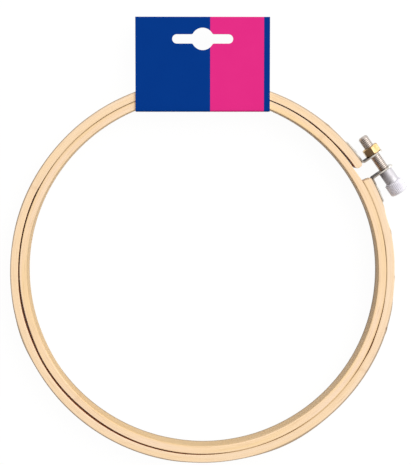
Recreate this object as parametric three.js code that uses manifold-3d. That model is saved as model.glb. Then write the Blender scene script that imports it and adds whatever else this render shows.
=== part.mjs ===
// An embroidery hoop of about 15 cm, lying flat with its hang card on.
// A closed inner ring and a split outer ring of bent bamboo strip sit one in the other. Two pressed lugs are
// riveted to the outer ring's ends, a knurled thumb screw draws them together through a threaded brass bush,
// and the card is folded round both rings and glued to itself above them.
// Millimetres, +Z up, the hoop's axis along Z, the card's top edge towards +Y.
import * as THREE from "three";
import { mergeVertices } from "three/addons/utils/BufferGeometryUtils.js";
import Module from "manifold-3d";

const wasm = await Module();
wasm.setup();

// Rings
const nominal_diameter = 150; // of the joint between the two rings
const ring_play = 0.3; // between the rings, all round
const inner_ring_wall = 3.2;
const outer_ring_wall = 3.5;
const ring_height = 9;
const ring_edge_radius = 0.7; // sanded edges
const ring_step = 3.75; // degrees between the rings' facets
const far_side_gap = 0.3; // between the outer ring's halves, opposite the clamp
const nut_end_rounding = 1.3; // in plan, at the outer ring's end on the bush's side
const screw_end_rounding = 0.5; // in plan, at its other end

// Lugs
const clamp_angle = 34.7; // polar angle of the nut side's lug, which the screw is square to
const clamp_shift = 3.93; // of the middle between the lugs from that angle, towards the knob
const lug_gap = 6.86; // between the lugs' facing sides
const nut_end_reach = 0.3; // of the outer ring's end past its lug, into the gap
const screw_end_reach = 0.9; // the same at the other end
const plate_thickness = 0.6;
const plate_width = 8;
const plate_foot = 10; // from the lug to the end of the foot, along the ring
const plate_bend_radius = 0.6; // inside the bend
const plate_corner_radius = 1.8;
const lug_margin = 3.4; // from the screw's axis to the lug's tip
const seat_gap = 0.1; // between pieces that bear on each other

// Thumb screw and bush
const screw_stand_off = 6.4; // of the screw's axis from the outer ring's face
const stud_diameter = 4;
const stud_chamfer = 0.5;
const stud_clearance = 0.35; // round the stud in the bush and in the lug
const stud_tip_reach = 4.97; // past the bush
const neck_diameter = 5.5;
const neck_length = 5.7;
const knob_diameter = 7.5;
const knob_length = 5.4;
const knob_end_radius = 1;
const knob_shoulder_chamfer = 0.4;
const knurl_ridges = 32;
const knurl_depth = 0.22;
const socket_depth = 8.5; // of the stud in the head
const bush_across_flats = 6.4;
const bush_height = 3.3;
const bush_corner_chamfer = 0.35;
const bush_spigot_wall = 0.5; // riveted over in the lug's hole

// Rivets
const rivet_shank_diameter = 1.6;
const rivet_head_diameter = 2.8;
const rivet_head_height = 0.55;
const rivet_tail_height = 0.5;
const rivet_spacing = 4.2; // across the ring
const rivet_place = 5.6; // from the lug, along the ring

// Hang card
const board_thickness = 0.4;
const card_width = 54.3;
const card_height = 38; // from the fold to the top edge, as seen from the front
const card_offset = -0.3; // of its middle from the hoop's axis, along X
const card_play = 0.25; // between the board and the rings
const card_crease_radius = 0.7;
const card_flange = 15.2; // where the two layers are glued together
const hang_hole_diameter = 9.7;
const hang_hole_drop = 9; // of its centre below the top edge
const hang_slot_length = 25.4;
const hang_slot_width = 4.2;
const hang_fillet = 0.9;

const round_steps = 32; // round the screw and the bush
const rivet_steps = 16;

const inner_ring_outer_radius = nominal_diameter / 2;
const inner_ring_inner_radius = inner_ring_outer_radius - inner_ring_wall;
const outer_ring_inner_radius = inner_ring_outer_radius + ring_play;
const outer_ring_outer_radius = outer_ring_inner_radius + outer_ring_wall;
const outer_ring_middle_radius = (outer_ring_inner_radius + outer_ring_outer_radius) / 2;
const ring_bottom = board_thickness + card_play;
const ring_top = ring_bottom + ring_height;
const middle = ring_bottom + ring_height / 2;
const foot_inner_radius = outer_ring_outer_radius + seat_gap;
const foot_outer_radius = foot_inner_radius + plate_thickness;
const screw_radius = outer_ring_outer_radius + screw_stand_off;
const nut_side = -1; // along the screw, from the clamp's middle
const screw_side = 1;

const radians = THREE.MathUtils.degToRad;
const along_x = new THREE.Matrix4().makeRotationZ(-Math.PI / 2); // a turned piece's axis, from Y
const yz_outline = new THREE.Matrix4().makeBasis(
  new THREE.Vector3(0, 1, 0),
  new THREE.Vector3(0, 0, 1),
  new THREE.Vector3(1, 0, 0),
); // an outline drawn in Y and Z, thickened along X
const xz_outline = new THREE.Matrix4().makeBasis(
  new THREE.Vector3(1, 0, 0),
  new THREE.Vector3(0, 0, 1),
  new THREE.Vector3(0, -1, 0),
); // an outline drawn in X and Z, thickened along -Y

const bamboo = new THREE.MeshStandardMaterial({ color: 0xf6d9a8, roughness: 0.55 });
const bamboo_inner = new THREE.MeshStandardMaterial({ color: 0xf2d09a, roughness: 0.55 });
const nickel_plate = new THREE.MeshStandardMaterial({ color: 0xc9c6c2, roughness: 0.3, metalness: 1 });
const knurled_nickel = new THREE.MeshStandardMaterial({ color: 0xd6d5de, roughness: 0.45, metalness: 1 });
const brass = new THREE.MeshStandardMaterial({ color: 0xd9b25c, roughness: 0.3, metalness: 1 });
const printed_board = new THREE.MeshStandardMaterial({ color: 0x003a8c, roughness: 0.45 });

function solid(geometry, ...placings) {
  const bare = geometry.index ? geometry.toNonIndexed() : geometry.clone();
  bare.deleteAttribute("normal");
  bare.deleteAttribute("uv");
  placings.forEach((placing) => bare.applyMatrix4(placing));
  const merged = mergeVertices(bare);
  return new wasm.Manifold(
    new wasm.Mesh({
      numProp: 3,
      vertProperties: merged.getAttribute("position").array,
      triVerts: new Uint32Array(merged.index.array),
    }),
  );
}

function piece(name, body, material) {
  const faces = body.getMesh();
  const geometry = new THREE.BufferGeometry()
    .setAttribute("position", new THREE.BufferAttribute(faces.vertProperties, 3))
    .setIndex(new THREE.BufferAttribute(faces.triVerts, 1));
  const mesh = new THREE.Mesh(geometry.toNonIndexed(), material);
  mesh.geometry.computeVertexNormals();
  mesh.name = name;
  return mesh;
}

const moved = (x, y, z) => new THREE.Matrix4().makeTranslation(x, y, z);
const turned = (angle) => new THREE.Matrix4().makeRotationZ(angle);

// A body of revolution about Y, from points of radius and height that start and end on the axis.
function revolve(points, steps) {
  return new THREE.LatheGeometry(points.map(([r, y]) => new THREE.Vector2(r, y)), steps);
}

function thicken(outline, depth, curve_steps = 8) {
  return new THREE.ExtrudeGeometry(outline, { depth, bevelEnabled: false, curveSegments: curve_steps });
}

// A rod about Y between two heights.
function rod(diameter, low, high, steps = round_steps) {
  const geometry = new THREE.CylinderGeometry(diameter / 2, diameter / 2, high - low, steps);
  return geometry.translate(0, (low + high) / 2, 0);
}

// The strip's section in radius and height, drawn in at the sides by inset, with its four edges eased.
function strip_section(inner, outer, inset = 0) {
  const eased = Math.min(ring_edge_radius, (outer - inner) / 2 - inset - 0.1);
  const corners = [
    [outer - inset - eased, ring_bottom + eased, -90],
    [outer - inset - eased, ring_top - eased, 0],
    [inner + inset + eased, ring_top - eased, 90],
    [inner + inset + eased, ring_bottom + eased, 180],
  ];
  return corners.flatMap(([r, z, start]) =>
    [0, 45, 90].map((turn) => [
      r + eased * Math.cos(radians(start + turn)),
      z + eased * Math.sin(radians(start + turn)),
    ]),
  );
}

// Carries sections round Z, from station to station. A closed sweep joins its last station to its first.
function sweep_round(stations, closed) {
  const position = [];
  const at = ({ angle, section }, i) => {
    const [r, z] = section[i % section.length];
    return [r * Math.cos(angle), r * Math.sin(angle), z];
  };
  const count = stations[0].section.length;
  const spans = closed ? stations.length : stations.length - 1;
  for (let k = 0; k < spans; k++) {
    const here = stations[k];
    const next = stations[(k + 1) % stations.length];
    for (let i = 0; i < count; i++) {
      position.push(...at(here, i), ...at(next, i), ...at(next, i + 1));
      position.push(...at(here, i), ...at(next, i + 1), ...at(here, i + 1));
    }
  }
  if (!closed) {
    const [first, last] = [stations[0], stations[stations.length - 1]];
    for (let i = 1; i < count - 1; i++) {
      position.push(...at(first, 0), ...at(first, i), ...at(first, i + 1));
      position.push(...at(last, 0), ...at(last, i + 1), ...at(last, i));
    }
  }
  return new THREE.BufferGeometry().setAttribute("position", new THREE.Float32BufferAttribute(position, 3));
}

// Polar angle of the point on a circle whose place along the screw is x. The clamp looks along +Y here.
const polar = (x, radius) => Math.acos(x / radius);
const lug_face = (side) => clamp_shift + (side * lug_gap) / 2;
const lug_back = (side) => lug_face(side) + side * plate_thickness;
const rivet_angle = (side) => polar(lug_back(side), foot_outer_radius) - (side * rivet_place) / foot_outer_radius;
const rivet_heights = [middle + rivet_spacing / 2, middle - rivet_spacing / 2];

function inner_ring() {
  const count = Math.round(360 / ring_step);
  const section = strip_section(inner_ring_inner_radius, inner_ring_outer_radius);
  const stations = Array.from({ length: count }, (_, k) => ({ angle: (k * 2 * Math.PI) / count, section }));
  return solid(sweep_round(stations, true));
}

// The rivets' holes through the strip, with room for their tails on the inner face.
function rivet_holes(side) {
  const tail_room = rivet_tail_height + 2 * seat_gap;
  const drill = solid(
    rod(rivet_shank_diameter + 2 * seat_gap, outer_ring_inner_radius - 1, foot_outer_radius + 1, rivet_steps),
  ).add(
    solid(
      rod(
        rivet_head_diameter + 2 * seat_gap,
        outer_ring_inner_radius - 1,
        outer_ring_inner_radius + tail_room,
        rivet_steps,
      ),
    ),
  );
  const about = THREE.MathUtils.radToDeg(rivet_angle(side)) - 90;
  return rivet_heights
    .map((z) => drill.rotate([0, 0, about]).translate([0, 0, z]))
    .reduce((all, hole) => all.add(hole));
}

// Half of the split outer ring, from the clamp to the far side. Its end at the clamp is rounded off in plan.
function outer_ring_half(side, reach, rounding) {
  const clamp_end = polar(lug_face(side) - side * reach, outer_ring_middle_radius);
  const far_end = Math.PI / 2 - side * (Math.PI - far_side_gap / 2 / outer_ring_middle_radius);
  const round_turns = [0, 0.1, 0.3, 0.6].map((share) => share * rounding);
  const plain_start = clamp_end - (side * rounding) / outer_ring_middle_radius;
  const count = Math.ceil(Math.abs(far_end - plain_start) / radians(ring_step));
  const stations = round_turns.map((s) => ({
    angle: clamp_end - (side * s) / outer_ring_middle_radius,
    inset: rounding - Math.sqrt(rounding ** 2 - (rounding - s) ** 2),
  }));
  for (let k = 0; k <= count; k++)
    stations.push({ angle: plain_start + ((far_end - plain_start) * k) / count, inset: 0 });
  stations.forEach((station) => {
    station.section = strip_section(outer_ring_inner_radius, outer_ring_outer_radius, station.inset);
  });
  if (side === screw_side) stations.reverse();
  return solid(sweep_round(stations, false)).subtract(rivet_holes(side));
}

// A strip of plate bent to a foot that follows the ring and a lug that stands out from it.
function bracket(side, hole_diameter) {
  const face = lug_face(side);
  const back = lug_back(side);
  const tip = screw_radius + lug_margin;
  const outer_bend = plate_bend_radius + plate_thickness;
  const turn = (length, radius) => (side * length) / radius;
  const foot_end = polar(back, foot_outer_radius) - turn(plate_foot, foot_outer_radius);
  const corner = (x, radius) => [x, Math.sqrt(radius ** 2 - x ** 2)];
  const on_arc = (angle, radius) => [radius * Math.cos(angle), radius * Math.sin(angle)];
  const face_angle = polar(face, foot_inner_radius);
  const back_angle = polar(back, foot_outer_radius);
  const [, face_y] = corner(face, foot_inner_radius);
  const [, back_y] = corner(back, foot_outer_radius);
  const inner_start = face_angle - turn(outer_bend, foot_inner_radius);
  const outer_start = back_angle - turn(plate_bend_radius, foot_outer_radius);
  const plan = new THREE.Shape();
  plan.moveTo(...on_arc(inner_start, foot_inner_radius));
  plan.quadraticCurveTo(face, face_y, face, face_y + outer_bend);
  plan.lineTo(face, tip);
  plan.lineTo(back, tip);
  plan.lineTo(back, back_y + plate_bend_radius);
  plan.quadraticCurveTo(back, back_y, ...on_arc(outer_start, foot_outer_radius));
  plan.absarc(0, 0, foot_outer_radius, outer_start, foot_end, side === screw_side);
  plan.absarc(0, 0, foot_inner_radius, foot_end, inner_start, side === nut_side);
  const low = middle - plate_width / 2;
  const high = middle + plate_width / 2;

  // Rounds the corners of one free end, at place, of an outline that starts at root.
  const rounded_end = (root, place) => {
    const r = Math.sign(place - root) * plate_corner_radius;
    const outline = new THREE.Shape();
    outline.moveTo(root, low);
    outline.lineTo(place - r, low);
    outline.quadraticCurveTo(place, low, place, low + plate_corner_radius);
    outline.lineTo(place, high - plate_corner_radius);
    outline.quadraticCurveTo(place, high, place - r, high);
    outline.lineTo(root, high);
    return outline;
  };
  const lug_cut = thicken(rounded_end(0, tip), 2 * plate_foot + lug_gap, 4);
  const foot_cut = thicken(rounded_end(clamp_shift, foot_outer_radius * Math.cos(foot_end)), 2 * tip, 4);
  const lug_place = side === screw_side ? clamp_shift : clamp_shift - 2 * plate_foot - lug_gap;
  const screw_hole = rod(hole_diameter, back - 2 * plate_thickness, back + 2 * plate_thickness);
  return solid(thicken(plan, plate_width), moved(0, 0, low))
    .intersect(solid(lug_cut, yz_outline, moved(lug_place, 0, 0)))
    .intersect(solid(foot_cut, xz_outline, moved(0, 2 * tip, 0)))
    .subtract(solid(screw_hole, along_x, moved(0, screw_radius, middle)))
    .subtract(rivet_holes(side));
}

// A flat-topped rivet head on the foot, and a tail spread in the strip's inner face.
function rivet(side, height) {
  const [shank, head] = [rivet_shank_diameter / 2, rivet_head_diameter / 2];
  const tail = outer_ring_inner_radius + seat_gap;
  const seat = foot_outer_radius + seat_gap;
  const crown = seat + rivet_head_height;
  const profile = [
    [0, tail],
    [head, tail],
    [head, tail + rivet_tail_height / 2],
    [shank, tail + rivet_tail_height],
    [shank, seat],
    [head, seat],
    [head, crown - rivet_head_height / 2],
    [head * 0.65, crown],
    [0, crown],
  ];
  const about = rivet_angle(side) - Math.PI / 2;
  return solid(revolve(profile, rivet_steps), turned(about), moved(0, 0, height));
}

const bush_bore = stud_diameter + 2 * stud_clearance;
const spigot_diameter = bush_bore + 2 * bush_spigot_wall;

// A hexagon-bar bush whose spigot goes through the lug.
function threaded_bush() {
  const seat = lug_back(nut_side) - seat_gap;
  const end = seat - bush_height;
  const corner = bush_across_flats / Math.sqrt(3);
  const hexagon = new THREE.Shape();
  for (let k = 0; k < 6; k++) {
    const angle = Math.PI / 2 + (k * Math.PI) / 3;
    hexagon[k ? "lineTo" : "moveTo"](corner * Math.cos(angle), corner * Math.sin(angle));
  }
  const chamfered = revolve(
    [
      [0, 0],
      [corner - bush_corner_chamfer, 0],
      [corner, bush_corner_chamfer],
      [corner, bush_height],
      [0, bush_height],
    ],
    round_steps,
  );
  const placed = moved(0, screw_radius, middle);
  return solid(thicken(hexagon, bush_height), yz_outline, moved(end, 0, 0), placed)
    .intersect(solid(chamfered, along_x, moved(end, 0, 0), placed))
    .add(solid(rod(spigot_diameter, seat - bush_height / 2, lug_face(nut_side)), along_x, placed))
    .subtract(solid(rod(bush_bore, end - 1, lug_face(nut_side) + 1), along_x, placed));
}

const head_seat = lug_back(screw_side) + seat_gap;

// The plain stud of the thumb screw, from its chamfered tip to its end in the head.
function stud() {
  const r = stud_diameter / 2;
  const tip = lug_back(nut_side) - seat_gap - bush_height - stud_tip_reach;
  const end = head_seat + socket_depth - seat_gap;
  const profile = [
    [0, tip],
    [r - stud_chamfer, tip],
    [r, tip + stud_chamfer],
    [r, end],
    [0, end],
  ];
  return solid(revolve(profile, round_steps), along_x, moved(0, screw_radius, middle));
}

// The turned head of the thumb screw: a neck that bears on the lug, and a knob with a straight knurl.
function screw_head() {
  const neck_end = head_seat + neck_length;
  const knob_end = neck_end + knob_length;
  const r = knob_diameter / 2;
  const knob_profile = [
    [0, neck_end],
    [r - knob_shoulder_chamfer, neck_end],
    [r, neck_end + knob_shoulder_chamfer],
    [r, knob_end - knob_end_radius],
    ...[30, 60, 90].map((turn) => [
      r - knob_end_radius * (1 - Math.cos(radians(turn))),
      knob_end - knob_end_radius * (1 - Math.sin(radians(turn))),
    ]),
    [0, knob_end],
  ];
  const ridges = new THREE.Shape();
  for (let k = 0; k < 2 * knurl_ridges; k++) {
    const angle = (k * Math.PI) / knurl_ridges;
    const radius = k % 2 ? r - knurl_depth : r;
    ridges[k ? "lineTo" : "moveTo"](radius * Math.cos(angle), radius * Math.sin(angle));
  }
  const placed = moved(0, screw_radius, middle);
  return solid(thicken(ridges, knob_length), yz_outline, moved(neck_end, 0, 0), placed)
    .intersect(solid(revolve(knob_profile, 2 * knurl_ridges), along_x, placed))
    .add(solid(rod(neck_diameter, head_seat, neck_end + knob_end_radius), along_x, placed))
    .subtract(
      solid(rod(stud_diameter + 2 * seat_gap, head_seat - 1, head_seat + socket_depth), along_x, placed),
    );
}

// A round hole with a slot through it, each corner between them filleted.
function hang_hole() {
  const r = hang_slot_width / 2;
  const big = hang_hole_diameter / 2;
  const end = hang_slot_length / 2 - r;
  const meet = Math.sqrt(big ** 2 - r ** 2);
  const leave = Math.asin(r / big) + hang_fillet / big;
  const [x, y] = [big * Math.cos(leave), big * Math.sin(leave)];
  const outline = new THREE.Shape();
  outline.moveTo(meet + hang_fillet, -r);
  outline.absarc(end, 0, r, -Math.PI / 2, Math.PI / 2);
  outline.lineTo(meet + hang_fillet, r);
  outline.quadraticCurveTo(meet, r, x, y);
  outline.absarc(0, 0, big, leave, Math.PI - leave);
  outline.quadraticCurveTo(-meet, r, -meet - hang_fillet, r);
  outline.absarc(-end, 0, r, Math.PI / 2, 1.5 * Math.PI);
  outline.lineTo(-meet - hang_fillet, -r);
  outline.quadraticCurveTo(-meet, -r, -x, -y);
  outline.absarc(0, 0, big, Math.PI + leave, 2 * Math.PI - leave);
  outline.quadraticCurveTo(meet, -r, meet + hang_fillet, -r);
  return outline;
}

// One piece of board, creased twice inside the hoop, laid over both faces of the rings and glued above them.
// The front stays flat up to the top edge, and the back rises to it. The card's inside corners seat on the inner
// ring at its two sides.
function hang_card() {
  const half_reach = card_width / 2 + Math.abs(card_offset);
  const fold = Math.sqrt(inner_ring_inner_radius ** 2 - half_reach ** 2) - seat_gap - board_thickness;
  const top = fold + card_height;
  const flange = top - card_flange;
  const bend = outer_ring_outer_radius + card_play;
  const height = ring_top + card_play + board_thickness;
  const crease = card_crease_radius;
  const glued = height - 2 * board_thickness; // underside of the two layers
  const slope = Math.atan2(glued, flange - bend);
  const draw_in = board_thickness * Math.tan(slope / 2);
  const side_view = new THREE.Shape();
  side_view.absarc(fold + crease, crease, crease, Math.PI, 1.5 * Math.PI);
  side_view.lineTo(bend, 0);
  side_view.lineTo(flange, glued);
  side_view.lineTo(top, glued);
  side_view.lineTo(top, height);
  side_view.absarc(fold + crease, height - crease, crease, 0.5 * Math.PI, Math.PI);
  const inside = new THREE.Path();
  inside.absarc(fold + crease, crease, crease - board_thickness, Math.PI, 1.5 * Math.PI);
  inside.lineTo(bend - draw_in, board_thickness);
  inside.lineTo(flange - draw_in, height - board_thickness);
  inside.absarc(fold + crease, height - crease, crease - board_thickness, 0.5 * Math.PI, Math.PI);
  side_view.holes.push(inside);
  const hole = solid(
    thicken(hang_hole(), 2 * height, 12),
    moved(card_offset, top - hang_hole_drop, -height / 2),
  );
  return solid(thicken(side_view, card_width, 4), yz_outline, moved(card_offset - card_width / 2, 0, 0)).subtract(
    hole,
  );
}

// The rings and the clamp are built with the clamp towards +Y, and turned together to its place.
const hoop = new THREE.Group();
hoop.rotation.z = radians(clamp_angle - 90);
hoop.add(piece("inner_ring", inner_ring(), bamboo_inner));
hoop.add(piece("outer_ring_nut_side", outer_ring_half(nut_side, nut_end_reach, nut_end_rounding), bamboo));
hoop.add(
  piece("outer_ring_screw_side", outer_ring_half(screw_side, screw_end_reach, screw_end_rounding), bamboo),
);
hoop.add(piece("nut_side_bracket", bracket(nut_side, spigot_diameter + 2 * seat_gap), nickel_plate));
hoop.add(piece("screw_side_bracket", bracket(screw_side, bush_bore), nickel_plate));
rivet_heights.forEach((height, k) => {
  const place = ["upper", "lower"][k];
  hoop.add(piece("nut_side_rivet_" + place, rivet(nut_side, height), nickel_plate));
  hoop.add(piece("screw_side_rivet_" + place, rivet(screw_side, height), nickel_plate));
});
hoop.add(piece("threaded_bush", threaded_bush(), brass));
hoop.add(piece("thumb_screw_stud", stud(), nickel_plate));
hoop.add(piece("thumb_screw_head", screw_head(), knurled_nickel));

// The origin is under the middle of the part's outline.
const part = new THREE.Group();
part.add(hoop, piece("header_card", hang_card(), printed_board));
const outline = new THREE.Box3().setFromObject(part, true);
part.children.forEach((child) => {
  child.position.set(-(outline.min.x + outline.max.x) / 2, -(outline.min.y + outline.max.y) / 2, 0);
});

export default part;
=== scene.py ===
from math import asin, atan2, ceil, cos, exp, pi, radians, sin, sqrt, tan

import bmesh
import bpy
from mathutils import Matrix, Vector


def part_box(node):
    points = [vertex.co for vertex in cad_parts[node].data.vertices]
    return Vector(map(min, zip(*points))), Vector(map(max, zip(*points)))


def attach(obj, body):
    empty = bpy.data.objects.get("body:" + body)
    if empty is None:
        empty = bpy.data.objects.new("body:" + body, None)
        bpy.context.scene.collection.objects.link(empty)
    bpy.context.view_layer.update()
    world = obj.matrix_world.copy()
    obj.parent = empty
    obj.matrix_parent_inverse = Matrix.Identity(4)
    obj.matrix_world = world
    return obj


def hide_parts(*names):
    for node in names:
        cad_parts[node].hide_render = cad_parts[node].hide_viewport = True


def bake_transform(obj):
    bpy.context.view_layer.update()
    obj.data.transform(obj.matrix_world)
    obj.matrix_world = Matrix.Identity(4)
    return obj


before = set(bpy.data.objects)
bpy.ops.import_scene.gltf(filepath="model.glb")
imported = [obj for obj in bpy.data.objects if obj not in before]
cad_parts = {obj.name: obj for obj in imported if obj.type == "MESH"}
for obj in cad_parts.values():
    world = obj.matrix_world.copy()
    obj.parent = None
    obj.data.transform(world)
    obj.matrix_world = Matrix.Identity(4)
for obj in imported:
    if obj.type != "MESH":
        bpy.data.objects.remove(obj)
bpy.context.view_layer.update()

# Inner ring
# A bamboo strip of 3.2 x 9 mm, steamed and bent round until its two tapered ends lap by 40 mm.
# The lap is glued as a scarf, and the edges are rounded over on a sanding belt.
MM = 0.001
low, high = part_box("inner_ring")
hoop_centre = (low + high) / 2
hoop_foot = Vector((hoop_centre.x, hoop_centre.y, 0))
strip_bottom = low.z / MM
strip_top = high.z / MM
inner_ring_bore = 71.8
inner_ring_face = 75.0
scarf_length = 40.0
scarf_start = 68.0  # polar angle in degrees, so that the lap lies under the hang card
free_ease = 0.4  # where a hand meets the strip
joint_ease = 0.16  # where the strips meet


def strip_section(inner, outer, inner_ease, outer_ease, inset=0.0):
    """Points in radius and height round the section of a strip, with its four edges rounded over."""
    bottom, top = strip_bottom + inset * 0.3, strip_top - inset * 0.3
    inner, outer = inner + inset, outer - inset
    inner_ease, outer_ease = (min(ease, (outer - inner) * 0.4) for ease in (inner_ease, outer_ease))
    corners = (
        (outer - outer_ease, bottom + outer_ease, -90, outer_ease),
        (outer - outer_ease, top - outer_ease, 0, outer_ease),
        (inner + inner_ease, top - inner_ease, 90, inner_ease),
        (inner + inner_ease, bottom + inner_ease, 180, inner_ease),
    )
    points = []
    for r, z, start, ease in corners:
        turns = [radians(start + turn) for turn in (0, 22.5, 45, 67.5, 90)]
        points.append([(r + ease * cos(a), z + ease * sin(a)) for a in turns])
    section = []
    for here, following in zip(points, points[1:] + points[:1]):
        (r0, z0), (r1, z1) = here[-1], following[0]
        section += here
        section += [(r0 + (r1 - r0) * share, z0 + (z1 - z0) * share) for share in (0.07, 0.5, 0.93)]
    return section


def sweep_strip(name, stations, closed_length=None, slants=None, **marks):
    """A strip through (polar angle, section, place along it). Each corner keeps its place in the strip. A
    slant turns a station's points by that angle for each millimetre that they lie out from the inner ring's
    face, and marks hold one value for each station."""
    count = len(stations[0][1])
    points, faces, places = [], [], []
    for (angle, section, _), slant in zip(stations, slants or [0.0] * len(stations)):
        for r, z in section:
            turned = angle + slant * (r - inner_ring_face)
            x, y = r * cos(turned) * MM, r * sin(turned) * MM
            points.append((hoop_centre.x + x, hoop_centre.y + y, z * MM))
    rounds = list(zip(range(len(stations)), range(1, len(stations))))
    if closed_length:
        rounds.append((len(stations) - 1, 0))
    for here, following in rounds:
        along = stations[here][2]
        further = stations[following][2] if following else closed_length
        for i in range(count):
            j = (i + 1) % count
            corners = ((here, i, along), (following, i, further), (following, j, further), (here, j, along))
            faces.append([k * count + n for k, n, _ in corners])
            places += [(s, *stations[k][1][n]) for k, n, s in corners]
    if not closed_length:
        for k, order in ((0, range(count)), (len(stations) - 1, range(count - 1, -1, -1))):
            faces.append([k * count + n for n in order])
            places += [(stations[k][2], *stations[k][1][n]) for n in order]
    mesh = bpy.data.meshes.new(name)
    mesh.from_pydata(points, [], faces)
    strip = mesh.attributes.new("strip", "FLOAT_VECTOR", "CORNER")
    strip.data.foreach_set("vector", [value for place in places for value in place])
    for mark, values in marks.items():
        marked = mesh.attributes.new(mark, "FLOAT", "POINT")
        marked.data.foreach_set("value", [value for value in values for _ in range(count)])
    return mesh


def add_piece(name, mesh, *materials, crisp=35.0):
    """Makes an object of a mesh, smooth but for the edges that turn by more than crisp degrees."""
    work = bmesh.new()
    work.from_mesh(mesh)
    for face in work.faces:
        face.smooth = True
    for edge in work.edges:
        edge.smooth = len(edge.link_faces) == 2 and edge.calc_face_angle(0) < radians(crisp)
    work.to_mesh(mesh)
    work.free()
    for material in materials:
        mesh.materials.append(material)
    piece = bpy.data.objects.new(name, mesh)
    bpy.context.scene.collection.objects.link(piece)
    return piece


def linear(code):
    """An sRGB hex colour as linear red, green, blue and alpha."""
    shares = [int(code[i : i + 2], 16) / 255 for i in (1, 3, 5)]
    return tuple(s / 12.92 if s <= 0.04045 else ((s + 0.055) / 1.055) ** 2.4 for s in shares) + (1.0,)


def add_node(tree, kind, inputs=None, stops=None, **settings):
    """Adds a node with its settings, the places and colours of its ramp's stops, and the values and links of
    its inputs. A node given for an input is linked from its first output."""
    made = tree.nodes.new("ShaderNode" + kind)
    for name, value in settings.items():
        setattr(made, name, value)
    for key, value in (inputs or {}).items():
        if isinstance(value, bpy.types.Node):
            value = value.outputs[0]
        if isinstance(value, bpy.types.NodeSocket):
            tree.links.new(value, made.inputs[key])
        else:
            made.inputs[key].default_value = value
    if stops:
        ramp = made.color_ramp.elements
        while len(ramp) < len(stops):
            ramp.new(0.5)
        for element, (place, code) in zip(ramp, stops):
            element.position = place
            element.color = linear(code)
    return made


def new_material(name):
    """A node material, and its tree, which is still empty."""
    material = bpy.data.materials.new(name)
    material.use_nodes = True
    material.node_tree.nodes.clear()
    return material, material.node_tree


def round_hoop(degrees, table):
    """The value at a polar angle, read smoothly and all the way round from a table of angles and values."""
    degrees %= 360
    laps = [(at + lap, value) for lap in (-360, 0, 360) for at, value in table]
    for (before, low_value), (after, high_value) in zip(laps, laps[1:]):
        if before <= degrees < after:
            share = (degrees - before) / (after - before)
            return low_value + (high_value - low_value) * share * share * (3 - 2 * share)


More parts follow.
